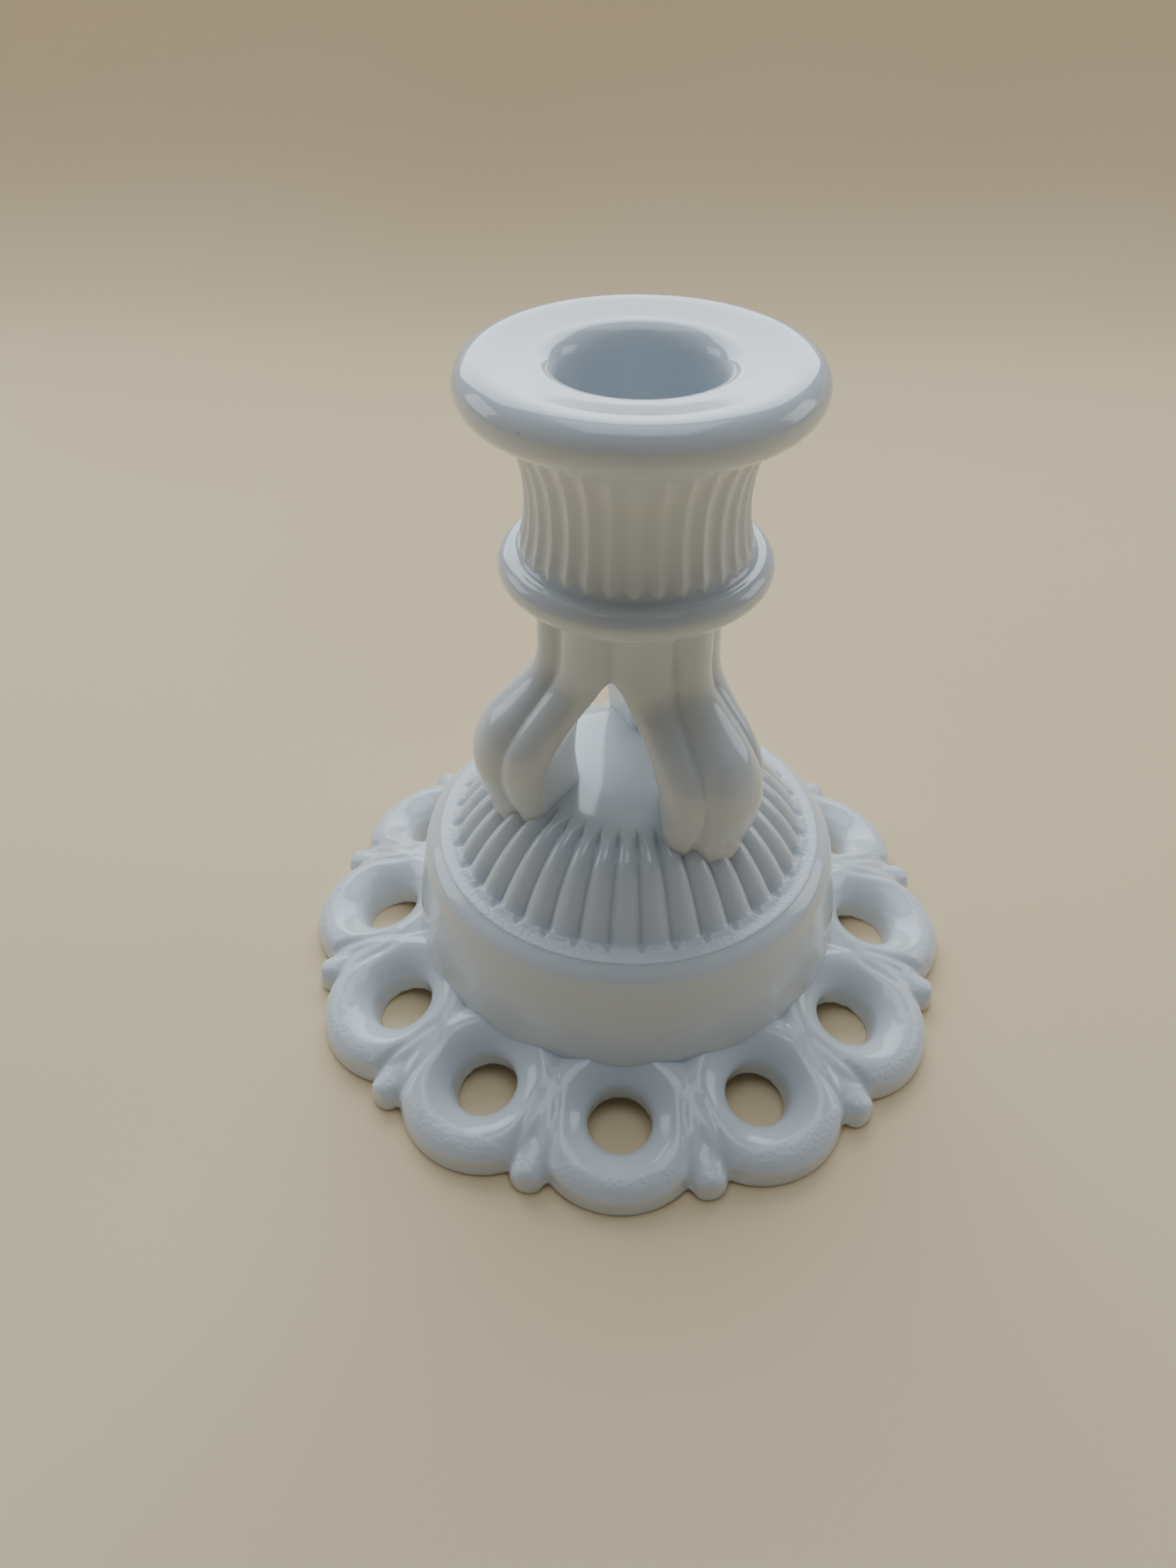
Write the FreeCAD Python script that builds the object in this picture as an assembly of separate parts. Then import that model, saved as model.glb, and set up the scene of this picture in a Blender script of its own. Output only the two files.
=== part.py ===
import FreeCAD, Part
import math
import os

from FreeCAD import Vector

# Milk-glass candlestick with a lace foot. Millimetres, +Z up, origin on the axis in the
# plane that the foot stands on. Every piece is a natural region of the pressed glass,
# closed and meeting its neighbours face to face.

# ---- overall sizes: the stem takes up the height that the rest leaves, and the dome and
# skirt take up the radius that the lace leaves
overall_height = 114.0
foot_radius = 60.3           # outermost point of a lace loop

# ---- candle socket
bore_radius = 11.5           # takes a 22.2 mm (7/8 in) taper
bore_depth = 24.0
mouth_round = 3.0            # rounding from the bore wall to the lip
lip_dip = 0.7                # how far the lip falls towards the mouth
rim_width = 14.0             # bore wall to the outside of the rim
rim_bead_radius = 3.6        # half the thickness of the rim bead
rim_underside = 12.3         # rim top down to where the cup begins

# ---- cup
cup_wall = 4.45              # at the waist
cup_flare = 1.55             # how much wider the cup is at its foot and top than its waist
cup_floor = 4.8              # glass under the socket
flute_count = 32
flute_radius = 1.9
flute_depth = 0.45

# ---- collar
collar_bead_radius = 2.45
collar_reach = 3.2           # how far the collar stands out from the cup
collar_base = 2.9            # bead middle down to the underside
collar_top = 2.2             # bead middle up to the seat of the cup

# ---- stem
crown_length = 11.5          # collar down to the tops of the windows
crown_radius = 15.5
leg_count = 3
leg_azimuth = 195.0
groove_angle = 15.0
leg_foot_sink = 8.0          # the drawn leg runs this far below the plateau before it is cut

# ---- dome
dome_rise = 13.3             # ledge up to the plateau
plateau_radius = 15.5
plateau_fall = 0.7           # from the middle to the edge of the plateau
rib_count = 36
rib_groove_radius = 1.3
rib_groove_depth = 0.75
dome_wall = 4.8

# ---- ledge and skirt
ledge_height = 29.9
ledge_width = 1.9
ledge_thickness = 2.6
ledge_slope = 2.6            # ledge edge out to the shoulder of the skirt
skirt_flare = 2.5            # how much wider the skirt is at its foot
skirt_wall = 5.0
skirt_base = 3.0

# ---- lace
lace_width = 21.7            # skirt out to the end of a loop
loop_count = 12
loop_first_azimuth = 270.0
loop_centre_height = 5.3
loop_tilt = 15.0             # the lace slopes down towards its edge
loop_depth = 4.6             # from the middle plane of a loop to its underside
hole_radius = 5.35
hole_setback = 1.75          # glass between the skirt and a hole
funnel_width = 4.95          # hole out to the crest of its loop
crest_rise = 3.2
finger_half_angle = 3.4
finger_tip_round = 2.9
finger_tip_setback = 1.0     # from the end of a loop back to the tip of a finger
finger_root_round = 2.0
web_rise = 1.7               # top of the web above the loop's middle plane at the skirt
web_margin = 0.8             # how far the web runs past the middle of a loop

AXIS = Vector(0, 0, 1)
ORIGIN = Vector(0, 0, 0)

# ---- levels, from the top down to the stem and from the foot up to it
rim_bottom = overall_height - rim_underside
bore_bottom = overall_height - bore_depth
cup_base = bore_bottom - cup_floor
collar_height = cup_base - collar_top
collar_bottom = collar_height - collar_base
crown_base = collar_bottom - crown_length
plateau_height = ledge_height + dome_rise
ledge_bottom = ledge_height - ledge_thickness

# ---- radii, from the socket outwards and from the lace inwards
rim_outer_radius = bore_radius + rim_width
rim_ring_radius = rim_outer_radius - rim_bead_radius
cup_waist_radius = bore_radius + cup_wall
cup_foot_radius = cup_waist_radius + cup_flare
collar_outer_radius = cup_foot_radius + collar_reach
collar_seat_radius = crown_radius + 0.4
skirt_foot_radius = foot_radius - lace_width
skirt_shoulder_radius = skirt_foot_radius - skirt_flare
skirt_middle_radius = skirt_shoulder_radius + 0.64 * skirt_flare
ledge_radius = skirt_shoulder_radius - ledge_slope
dome_radius = ledge_radius - ledge_width
loop_centre_radius = skirt_foot_radius + hole_setback + hole_radius
crest_radius = hole_radius + funnel_width
finger_tip_radius = foot_radius - finger_tip_setback
finger_root_radius = loop_centre_radius - 0.7
web_outer_radius = loop_centre_radius + web_margin
tilt_fall = math.tan(math.radians(loop_tilt))
web_top = loop_centre_height + (loop_centre_radius - skirt_foot_radius) * tilt_fall + web_rise
skirt_foot_height = web_top + 0.1


def point(radius, height):
    return Vector(radius, 0, height)


def polar(radius, degrees, height):
    angle = math.radians(degrees)
    return Vector(radius * math.cos(angle), radius * math.sin(angle), height)


def line(start, end):
    return Part.makeLine(start, end)


def arc(start, middle, end):
    return Part.Arc(start, middle, end).toShape()


def revolve(edges):
    """Solid of revolution about Z from a closed outline in the XZ plane."""
    face = Part.Face(Part.Wire(edges))
    solid = Part.Solid(face.revolve(ORIGIN, AXIS, 360))
    return as_solid(solid)


def as_solid(shape):
    solids = shape.Solids
    result = solids[0] if len(solids) == 1 else shape
    if result.Volume < 0:
        result.reverse()
    return result


def turned(shape, degrees):
    copy = shape.copy()
    copy.rotate(ORIGIN, AXIS, degrees)
    return copy


def ring_of(shape, count, first=0.0):
    return [turned(shape, first + k * 360.0 / count) for k in range(count)]


def groove_cutter(start, middle, end, radius):
    """Round bar bent along an arc in the XZ plane, used to press a flute or a rib groove."""
    spine = Part.Wire([arc(start, middle, end)])
    tangent = spine.Edges[0].tangentAt(spine.Edges[0].FirstParameter)
    profile = Part.Wire([Part.makeCircle(radius, start, tangent)])
    return spine.makePipeShell([profile], True, True)


# ---------------------------------------------------------------- candle socket and cup

def socket_rim():
    top = overall_height
    bead_mid = top - rim_bead_radius
    bead_low = top - 2 * rim_bead_radius
    mouth_low = top - lip_dip - mouth_round
    mouth_mid = mouth_round * (1 - math.cos(math.radians(45)))
    edges = [
        line(point(bore_radius, rim_bottom), point(bore_radius, mouth_low)),
        arc(point(bore_radius, mouth_low),
            point(bore_radius + mouth_mid, top - lip_dip - mouth_mid),
            point(bore_radius + mouth_round, top - lip_dip)),
        line(point(bore_radius + mouth_round, top - lip_dip), point(rim_ring_radius, top)),
        arc(point(rim_ring_radius, top), point(rim_outer_radius, bead_mid),
            point(rim_ring_radius, bead_low)),
        arc(point(rim_ring_radius, bead_low), underside_middle(bead_low),
            point(cup_foot_radius, rim_bottom)),
        line(point(cup_foot_radius, rim_bottom), point(bore_radius, rim_bottom)),
    ]
    return revolve(edges)


def underside_middle(bead_low):
    """Middle point of the hollow curve from the rim bead to the top of the cup."""
    start = point(rim_ring_radius, bead_low)
    end = point(cup_foot_radius, rim_bottom)
    middle = (start + end) * 0.5
    chord = end - start
    normal = Vector(chord.z, 0, -chord.x)
    normal.normalize()
    sag = 0.12 * chord.Length
    return middle + normal * sag


def candle_cup():
    waist = 0.5 * (cup_base + rim_bottom)
    edges = [
        line(point(0, cup_base), point(cup_foot_radius, cup_base)),
        arc(point(cup_foot_radius, cup_base), point(cup_waist_radius, waist),
            point(cup_foot_radius, rim_bottom)),
        line(point(cup_foot_radius, rim_bottom), point(bore_radius, rim_bottom)),
        line(point(bore_radius, rim_bottom), point(bore_radius, bore_bottom)),
        line(point(bore_radius, bore_bottom), point(0, bore_bottom)),
        line(point(0, bore_bottom), point(0, cup_base)),
    ]
    body = revolve(edges)
    offset = flute_radius - flute_depth
    cutter = groove_cutter(point(cup_foot_radius + offset, cup_base),
                           point(cup_waist_radius + offset, waist),
                           point(cup_foot_radius + offset, rim_bottom), flute_radius)
    return as_solid(body.cut(Part.makeCompound(ring_of(cutter, flute_count))))


def collar_ring():
    middle = collar_outer_radius - collar_bead_radius
    bead = collar_bead_radius
    seat = point(collar_seat_radius, collar_bottom)
    under = point(middle - 0.5 * bead, collar_height - 0.866 * bead)
    fillet = point(seat.x + 0.49 * (under.x - seat.x), seat.z + 0.77 * (under.z - seat.z))
    edges = [
        line(point(0, collar_bottom), seat),
        arc(seat, fillet, under),
        arc(under, point(collar_outer_radius, collar_height),
            point(middle, collar_height + bead)),
        line(point(middle, collar_height + bead), point(cup_foot_radius, cup_base)),
        line(point(cup_foot_radius, cup_base), point(0, cup_base)),
        line(point(0, cup_base), point(0, collar_bottom)),
    ]
    return revolve(edges)


# ---------------------------------------------------------------- stem

def leg_stations():
    """Levels of a leg from its foot to the crown: height, radii of the crest, the grooves,
    the side lobes, the side edges and the inner face, then the half angle it fills.
    Radii are given from the edge of the plateau at the foot and from the crown at the top."""
    open_height = crown_base - plateau_height
    table = [
        (-leg_foot_sink / open_height, 7.1, 4.1, 4.5, 2.1, -6.1, 27.0),
        (-0.08, 9.2, 6.1, 6.5, 3.1, -6.1, 28.0),
        (0.11, 10.8, 7.5, 7.9, 3.8, -6.0, 28.5),
        (0.283, 11.2, 7.8, 8.3, 3.9, -5.9, 30.0),
        (0.465, 9.7, 6.7, 7.2, 2.7, -5.9, 32.0),
        (0.661, 5.6, 2.2, 2.7, -0.7, -6.3, 38.0),
        (0.835, 1.2, -1.5, -1.0, -2.9, -7.7, 47.0),
        (1.0, 0.0, -2.3, -1.6, -3.5, -11.0, 59.6),
    ]
    stations = []
    for share, crest, groove, side, edge, inner, reach in table:
        up = max(0.0, share)
        base = plateau_radius + up * (crown_radius - plateau_radius)
        radii = [base + offset for offset in (crest, groove, side, edge, inner)]
        height = plateau_height + share * open_height
        stations.append([height] + radii + [reach])
    return stations


def outer_points(crest, groove, side, edge, reach, height):
    """Points across the outer face: one broad lobe, two grooves and two side lobes."""
    lobe_angle = groove_angle + 0.45 * (reach - groove_angle)
    shoulder = 0.93 * reach
    half = [(0.0, crest), (0.55 * groove_angle, crest - 0.22 * (crest - groove)),
            (groove_angle, groove), (lobe_angle, side),
            (shoulder, 0.5 * (side + edge) + 0.1), (reach, edge)]
    left = [(-angle, radius) for angle, radius in reversed(half[1:])]
    return [polar(radius, angle, height) for angle, radius in left + half]


def spline(points):
    curve = Part.BSplineCurve()
    curve.interpolate(points)
    return curve.toShape()


def leg_section(station):
    height, crest, groove, side, edge, inner, reach = station
    outer = outer_points(crest, groove, side, edge, reach, height)
    first = polar(inner, -reach, height)
    middle = polar(inner, 0, height)
    last = polar(inner, reach, height)
    return Part.Wire([spline(outer), line(outer[-1], last), arc(last, middle, first),
                      line(first, outer[0])])


def leg_blank():
    return as_solid(Part.makeLoft([leg_section(s) for s in leg_stations()], True, False))


def crown_section(height, growth):
    """Closed outline of the stem above the legs: three broad and six narrow lobes."""
    top = leg_stations()[-1]
    crest, groove, side, edge = [radius + growth for radius in top[1:5]]
    points = []
    for k in range(leg_count):
        turn = k * 360.0 / leg_count
        third = outer_points(crest, groove, side, edge, 180.0 / leg_count, height)
        for vertex in third[:-1]:
            radius = math.hypot(vertex.x, vertex.y)
            angle = math.degrees(math.atan2(vertex.y, vertex.x))
            points.append(polar(radius, angle + turn, height))
    curve = Part.BSplineCurve()
    curve.interpolate(Points=points, PeriodicFlag=True)
    return Part.Wire([curve.toShape()])


def stem_crown():
    middle = 0.5 * (crown_base + collar_bottom)
    sections = [crown_section(crown_base, 0.0), crown_section(middle, -0.1),
                crown_section(collar_bottom, 0.25)]
    return turned(as_solid(Part.makeLoft(sections, True, False)), leg_azimuth)


def legs():
    """The legs, with their feet shaped to the smooth surface of the dome."""
    leg = as_solid(leg_blank().cut(dome_block()))
    return ring_of(leg, leg_count, leg_azimuth)


# ---------------------------------------------------------------- dome, ledge and skirt

def plateau_edge():
    return plateau_height - plateau_fall


def plateau_cap():
    """Edge of the outline from the rim of the plateau to its middle, part of a sphere."""
    sphere = (plateau_radius ** 2 + plateau_fall ** 2) / (2 * plateau_fall)
    half = 0.5 * math.asin(plateau_radius / sphere)
    return arc(point(plateau_radius, plateau_edge()),
               point(sphere * math.sin(half), plateau_height - sphere * (1 - math.cos(half))),
               point(0, plateau_height))


def plateau_disc():
    """Smooth middle of the dome that the legs stand round."""
    under = plateau_height - dome_wall
    edges = [
        line(point(0, under), point(plateau_radius, under)),
        line(point(plateau_radius, under), point(plateau_radius, plateau_edge())),
        plateau_cap(),
        line(point(0, plateau_height), point(0, under)),
    ]
    return revolve(edges)


def dome_outer(offset):
    """Three points of the dome's outside, moved out by offset."""
    rise = plateau_edge() - ledge_height
    span = dome_radius - plateau_radius
    return (point(plateau_radius + 0.15 * offset, plateau_edge() + offset),
            point(plateau_radius + 0.64 * span + 0.64 * offset,
                  ledge_height + 0.56 * rise + 0.77 * offset),
            point(dome_radius + offset, ledge_height))


def dome_inner():
    """Three points of the dome's inside, from the ledge up to the plateau."""
    inner_top = plateau_height - dome_wall
    inner_foot = dome_radius - dome_wall
    span = inner_foot - plateau_radius
    rise = inner_top - ledge_height
    return (point(inner_foot, ledge_height),
            point(plateau_radius + 0.7 * span, ledge_height + 0.6 * rise),
            point(plateau_radius, inner_top))


def dome_block():
    """The dome and plateau without ribs, filled down to the ledge."""
    start, middle, end = dome_outer(0.0)
    edges = [
        line(point(0, ledge_height), end),
        arc(end, middle, start),
        plateau_cap(),
        line(point(0, plateau_height), point(0, ledge_height)),
    ]
    return revolve(edges)


def ribbed_dome():
    start, middle, end = dome_outer(0.0)
    low, inner_middle, high = dome_inner()
    edges = [
        arc(start, middle, end),
        line(end, low),
        arc(low, inner_middle, high),
        line(high, start),
    ]
    body = revolve(edges)
    lift = rib_groove_radius - rib_groove_depth
    start, middle, end = dome_outer(lift)
    start = start + Vector(0, 0, rib_groove_depth + 0.2)
    cutter = groove_cutter(start, middle, end, rib_groove_radius)
    half_pitch = 180.0 / rib_count
    cutters = ring_of(cutter, rib_count, loop_first_azimuth + half_pitch)
    return as_solid(body.cut(Part.makeCompound(cutters)))


def ledge_ring():
    inner_top = dome_radius - dome_wall
    inner_bottom = skirt_shoulder_radius - skirt_wall
    edges = [
        line(point(inner_top, ledge_height), point(ledge_radius, ledge_height)),
        line(point(ledge_radius, ledge_height), point(skirt_shoulder_radius, ledge_bottom)),
        line(point(skirt_shoulder_radius, ledge_bottom), point(inner_bottom, ledge_bottom)),
        line(point(inner_bottom, ledge_bottom), point(inner_top, ledge_height)),
    ]
    return revolve(edges)


def skirt_band():
    middle = 0.5 * (ledge_bottom + skirt_foot_height)
    wall = skirt_wall
    edges = [
        arc(point(skirt_shoulder_radius, ledge_bottom), point(skirt_middle_radius, middle),
            point(skirt_foot_radius, skirt_foot_height)),
        line(point(skirt_foot_radius, skirt_foot_height), point(skirt_foot_radius, skirt_base)),
        line(point(skirt_foot_radius, skirt_base), point(skirt_foot_radius - wall, skirt_base)),
        line(point(skirt_foot_radius - wall, skirt_base),
             point(skirt_foot_radius - wall, skirt_foot_height)),
        arc(point(skirt_foot_radius - wall, skirt_foot_height),
            point(skirt_middle_radius - wall, middle),
            point(skirt_shoulder_radius - wall, ledge_bottom)),
        line(point(skirt_shoulder_radius - wall, ledge_bottom),
             point(skirt_shoulder_radius, ledge_bottom)),
    ]
    return revolve(edges)


# ---------------------------------------------------------------- lace

def tilt_into_place(shape):
    """Move a shape drawn round the origin to the middle of a loop on +X, tilted outwards."""
    copy = shape.copy()
    copy.rotate(ORIGIN, Vector(0, 1, 0), loop_tilt)
    copy.translate(Vector(loop_centre_radius, 0, loop_centre_height))
    return copy


def loop_reach():
    """Radius of a loop about its own middle, so that it ends at the foot radius."""
    return (foot_radius - loop_centre_radius) / math.cos(math.radians(loop_tilt))


def funnel_points():
    low = point(hole_radius, 0)
    high = point(crest_radius, crest_rise)
    middle = point(hole_radius + 0.36 * (crest_radius - hole_radius), 0.62 * crest_rise)
    return low, middle, high


def loop_ring():
    """Thick ring round one hole: funnel, round crest, round outer edge, flat underside."""
    reach = loop_reach()
    low, middle, high = funnel_points()
    edge = point(reach, -0.4)
    shoulder = point(crest_radius + 0.78 * (reach - crest_radius), 0.62 * crest_rise)
    toe = point(reach - 0.9, -loop_depth)
    edges = [
        arc(low, middle, high),
        arc(high, shoulder, edge),
        line(edge, toe),
        line(toe, point(hole_radius, -loop_depth)),
        line(point(hole_radius, -loop_depth), low),
    ]
    return tilt_into_place(revolve(edges))


def hole_space():
    """The space inside a funnel and its hole, well past both faces."""
    low, middle, high = funnel_points()
    past = 4 * crest_rise
    edges = [
        line(point(0, -past), point(hole_radius, -past)),
        line(point(hole_radius, -past), low),
        arc(low, middle, high),
        line(high, point(crest_radius, past)),
        line(point(crest_radius, past), point(0, past)),
        line(point(0, past), point(0, -past)),
    ]
    return tilt_into_place(revolve(edges))


def web_ring():
    """Thin sloping flange that fills the corners between the loops and the skirt."""
    drop = (web_outer_radius - skirt_foot_radius) * tilt_fall
    top = web_top
    thick = loop_depth + web_rise - 0.6
    edges = [
        line(point(skirt_foot_radius, top), point(web_outer_radius, top - drop)),
        line(point(web_outer_radius, top - drop),
             point(web_outer_radius, top - drop - thick)),
        line(point(web_outer_radius, top - drop - thick),
             point(skirt_foot_radius, top - thick)),
        line(point(skirt_foot_radius, top - thick), point(skirt_foot_radius, top)),
    ]
    return revolve(edges)


def finger():
    """Tapered round-ended finger between two loops, drawn on +X."""
    root_height = loop_centre_height + (loop_centre_radius - finger_root_radius) * tilt_fall
    tip_middle = finger_tip_radius - finger_tip_round
    tip_height = loop_centre_height - (tip_middle - loop_centre_radius) * tilt_fall
    root = Vector(finger_root_radius, 0, root_height)
    tip = Vector(tip_middle, 0, tip_height)
    along = tip - root
    cone = Part.makeCone(finger_root_round, finger_tip_round, along.Length, root, along)
    root_ball = Part.makeSphere(finger_root_round, root)
    tip_ball = Part.makeSphere(finger_tip_round, tip)
    return cone.fuse([root_ball, tip_ball])


def wedge(low_angle, high_angle):
    """Upright wedge of space between two azimuths, above the plane the foot stands on."""
    far = 2 * foot_radius
    near = skirt_foot_radius
    corners = [polar(near, low_angle, 0), polar(far, low_angle, 0), polar(far, high_angle, 0),
               polar(near, high_angle, 0)]
    edges = [line(corners[0], corners[1]), line(corners[1], corners[2]),
             line(corners[2], corners[3]), arc(corners[3],
                                               polar(near, 0.5 * (low_angle + high_angle), 0),
                                               corners[0])]
    return Part.Face(Part.Wire(edges)).extrude(Vector(0, 0, overall_height))


def lace():
    """One loop and one finger, cut from the merged lace, ready to be turned round."""
    pitch = 360.0 / loop_count
    ring = loop_ring()
    rings = [turned(ring, k * pitch) for k in (-1, 0, 1, 2)]
    hole = hole_space()
    holes = [turned(hole, k * pitch) for k in (-1, 0, 1, 2)]
    fingers = [turned(finger(), (k + 0.5) * pitch) for k in (-1, 0, 1)]
    merged = web_ring().fuse(rings).cut(Part.makeCompound(holes)).fuse(fingers)
    edge = 0.5 * pitch - finger_half_angle
    loop = as_solid(merged.common(wedge(-edge, edge)))
    between = as_solid(merged.common(wedge(edge, pitch - edge)))
    return loop, between


# ---------------------------------------------------------------- write every piece

def export(shape, name):
    shape.exportStep("parts/" + name + ".step")


def main():
    os.makedirs("parts", exist_ok=True)
    export(socket_rim(), "socket_rim")
    export(candle_cup(), "candle_cup")
    export(collar_ring(), "collar_ring")
    export(stem_crown(), "stem_crown")

    for leg, side in zip(legs(), ("left", "right", "back")):
        export(leg, "leg_" + side)

    export(plateau_disc(), "plateau_disc")
    export(ribbed_dome(), "ribbed_dome")
    export(ledge_ring(), "ledge_ring")
    export(skirt_band(), "skirt_band")

    loop, between = lace()
    pitch = 360.0 / loop_count
    for k in range(loop_count):
        turn = loop_first_azimuth + k * pitch
        export(turned(loop, turn), "lace_loop_%02d" % (k + 1))
        export(turned(between, turn), "lace_finger_%02d" % (k + 1))


main()
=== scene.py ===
import math

import bpy
import numpy as np
from mathutils import Matrix, Vector


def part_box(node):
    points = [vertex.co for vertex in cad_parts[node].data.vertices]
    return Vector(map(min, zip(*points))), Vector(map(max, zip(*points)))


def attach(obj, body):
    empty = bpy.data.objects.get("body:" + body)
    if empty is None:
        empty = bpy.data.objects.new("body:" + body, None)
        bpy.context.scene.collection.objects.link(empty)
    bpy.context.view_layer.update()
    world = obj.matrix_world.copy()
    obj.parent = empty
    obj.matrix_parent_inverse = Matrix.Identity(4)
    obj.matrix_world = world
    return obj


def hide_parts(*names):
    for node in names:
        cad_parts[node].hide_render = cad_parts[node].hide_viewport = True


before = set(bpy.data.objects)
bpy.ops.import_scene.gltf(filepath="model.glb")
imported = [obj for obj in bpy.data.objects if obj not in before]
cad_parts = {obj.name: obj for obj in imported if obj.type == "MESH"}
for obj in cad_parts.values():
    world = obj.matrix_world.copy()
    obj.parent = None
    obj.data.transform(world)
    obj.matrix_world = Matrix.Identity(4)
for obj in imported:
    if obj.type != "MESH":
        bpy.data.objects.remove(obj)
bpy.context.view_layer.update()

MM = 0.001


# ------------------------------------------------------------------ sizes from the part

def low(node):
    return np.array(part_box(node)[0]) / MM


def high(node):
    return np.array(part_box(node)[1]) / MM


LOOPS = ["lace_loop_%02d" % (k + 1) for k in range(12)]
FINGERS = ["lace_finger_%02d" % (k + 1) for k in range(12)]

top = high("socket_rim")[2]
rim_radius = high("socket_rim")[0]
collar_low = low("collar_ring")[2]
collar_radius = high("collar_ring")[0]
plateau_top = high("plateau_disc")[2]
plateau_under = low("plateau_disc")[2]
plateau_radius = high("plateau_disc")[0]
ledge_top = high("ledge_ring")[2]
dome_radius = high("ribbed_dome")[0]
crown_low = low("stem_crown")[2]
skirt_radius = high("skirt_band")[0]
skirt_low = low("skirt_band")[2]
foot_radius = -low("lace_loop_01")[1]

LOOP_COUNT = 12
LOOP_FIRST = 270.0
LOOP_RING = 45.7
LOOP_HEIGHT = 5.3
LOOP_TILT = 15.0
LEG_FIRST = 195.0
LEG_COUNT = 3
FLUTE_COUNT = 32
RIB_COUNT = 36


# ------------------------------------------------------------------ building blocks

def mesh_object(name, points, faces):
    """Closed, smooth-shaded mesh object from points in millimetres, normals outwards."""
    mesh = bpy.data.meshes.new(name)
    mesh.from_pydata((np.asarray(points, float) * MM).tolist(), [], faces)
    mesh.update()
    mesh.validate()
    if signed_volume(mesh) < 0:
        mesh.flip_normals()
    mesh.shade_smooth()
    obj = bpy.data.objects.new(name, mesh)
    bpy.context.scene.collection.objects.link(obj)
    return obj


def signed_volume(mesh):
    mesh.calc_loop_triangles()
    tri = np.empty(len(mesh.loop_triangles) * 3, np.int32)
    mesh.loop_triangles.foreach_get("vertices", tri)
    co = positions(mesh)[tri].reshape(-1, 3, 3)
    return float(np.einsum("ij,ij->i", co[:, 0], np.cross(co[:, 1], co[:, 2])).sum()) / 6


def positions(mesh):
    co = np.empty(len(mesh.vertices) * 3)
    mesh.vertices.foreach_get("co", co)
    return co.reshape(-1, 3)


def set_positions(mesh, co):
    mesh.vertices.foreach_set("co", co.ravel())
    mesh.update()


def add_attribute(mesh, name, values):
    layer = mesh.attributes.get(name) or mesh.attributes.new(name, "FLOAT", "POINT")
    layer.data.foreach_set("value", np.asarray(values, np.float32))


def smooth_path(points, spacing):
    """Catmull-Rom curve through points, sampled about every `spacing`."""
    p = np.array(points, float)
    ends = np.vstack([2 * p[0] - p[1], p, 2 * p[-1] - p[-2]])
    result = [p[0]]
    for a, b, c, d in zip(ends[:-3], ends[1:-2], ends[2:-1], ends[3:]):
        steps = max(1, int(round(np.linalg.norm(c - b) / spacing)))
        for k in range(1, steps + 1):
            t = k / steps
            result.append(0.5 * (2 * b + (c - a) * t + (2 * a - 5 * b + 4 * c - d) * t ** 2
                                 + (3 * b - a - 3 * c + d) * t ** 3))
    return [tuple(q) for q in result]


def arc_path(centre, radius, start, end, count):
    angles = np.radians(np.linspace(start, end, count))
    return [(centre[0] + radius * math.cos(a), centre[1] + radius * math.sin(a))
            for a in angles]


def smoothstep(low_edge, high_edge, value):
    t = np.clip((value - low_edge) / (high_edge - low_edge), 0, 1)
    return t * t * (3 - 2 * t)


def lathe(name, outline, segments, first=0.0):
    """Turned solid. An outline that starts and ends on the axis is capped with points,
    any other is closed on itself."""
    capped = outline[0][0] == 0
    rings = outline[1:-1] if capped else outline
    angles = np.radians(first + np.arange(segments) * 360.0 / segments)
    points = []
    for radius, height in rings:
        for angle in angles:
            points.append((radius * math.cos(angle), radius * math.sin(angle), height))
    faces = []
    rows = len(rings)
    for row in range(rows - 1 if capped else rows):
        below = row * segments
        above = ((row + 1) % rows) * segments
        for k in range(segments):
            n = (k + 1) % segments
            faces.append((below + k, below + n, above + n, above + k))
    if capped:
        start = len(points)
        points.append((0, 0, outline[0][1]))
        points.append((0, 0, outline[-1][1]))
        last = (rows - 1) * segments
        for k in range(segments):
            n = (k + 1) % segments
            faces.append((start, n, k))
            faces.append((start + 1, last + k, last + n))
    return mesh_object(name, points, faces)


def bake(obj):
    """Replace an object's mesh by its modified mesh and drop the modifiers."""
    graph = bpy.context.evaluated_depsgraph_get()
    graph.update()
    mesh = bpy.data.meshes.new_from_object(obj.evaluated_get(graph),
                                           preserve_all_data_layers=True, depsgraph=graph)
    obj.modifiers.clear()
    obj.data = mesh
    return obj


def join(name, objects):
    """One mesh object from several; the originals are removed."""
    points, faces, start = [], [], 0
    for obj in objects:
        co = positions(obj.data)
        points.append(co / MM)
        faces.extend([tuple(start + i for i in p.vertices) for p in obj.data.polygons])
        start += len(co)
        bpy.data.objects.remove(obj)
    return mesh_object(name, np.vstack(points), faces)


def melt(obj, voxel, passes):
    """Fuse overlapping closed parts into one skin and soften the creases between them."""
    remesh = obj.modifiers.new("fuse", "REMESH")
    remesh.mode = "VOXEL"
    remesh.voxel_size = voxel * MM
    remesh.use_smooth_shade = True
    bake(obj)
    mesh = obj.data
    edges = np.empty(len(mesh.edges) * 2, np.int32)
    mesh.edges.foreach_get("vertices", edges)
    a, b = edges.reshape(-1, 2).T
    co = positions(mesh)
    count = np.bincount(np.concatenate([a, b]), minlength=len(co))[:, None]
    for step in range(passes):
        total = np.zeros_like(co)
        for axis in range(3):
            total[:, axis] = (np.bincount(a, co[b, axis], len(co))
                              + np.bincount(b, co[a, axis], len(co)))
        weight = 0.5 if step % 2 == 0 else -0.52
        co = co + weight * (total / count - co)
    set_positions(mesh, co)
    return obj


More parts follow.
